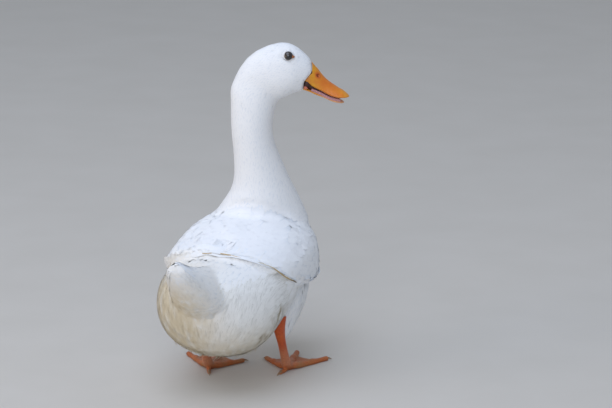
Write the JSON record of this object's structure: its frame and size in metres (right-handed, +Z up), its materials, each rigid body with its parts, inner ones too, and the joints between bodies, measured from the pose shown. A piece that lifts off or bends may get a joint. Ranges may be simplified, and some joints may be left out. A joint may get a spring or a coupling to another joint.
{
  "type": "white domestic duck",
  "caption": "Life-size still model of a white farm duck, standing on webbed feet with its neck raised and its head turned to its right.",
  "frame": {"origin": "on the floor, under the middle of the bounding box", "axes": "+Z up, -Y the way that the body faces, +X the bird's own left"},
  "size_m": [0.214, 0.383, 0.4232],
  "materials": {
    "plumage": "white feathers, cream below",
    "leg": "scaled orange skin",
    "bill": "smooth orange horn",
    "tongue": "moist, pink",
    "eye": "wet, dark brown"
  },
  "bodies": {
    "root": {"trunk": "plumage", "tail": "plumage", "neck": "plumage", "head": "plumage", "wing_left": "plumage", "wing_right": "plumage", "thigh_left": "plumage", "thigh_right": "plumage", "shank_left": "leg", "shank_right": "leg", "foot_left": "leg", "foot_right": "leg", "bill_upper": "bill", "bill_lower": "bill", "tongue": "tongue", "eye_left": "eye", "eye_right": "eye"}
  },
  "joints": []
}
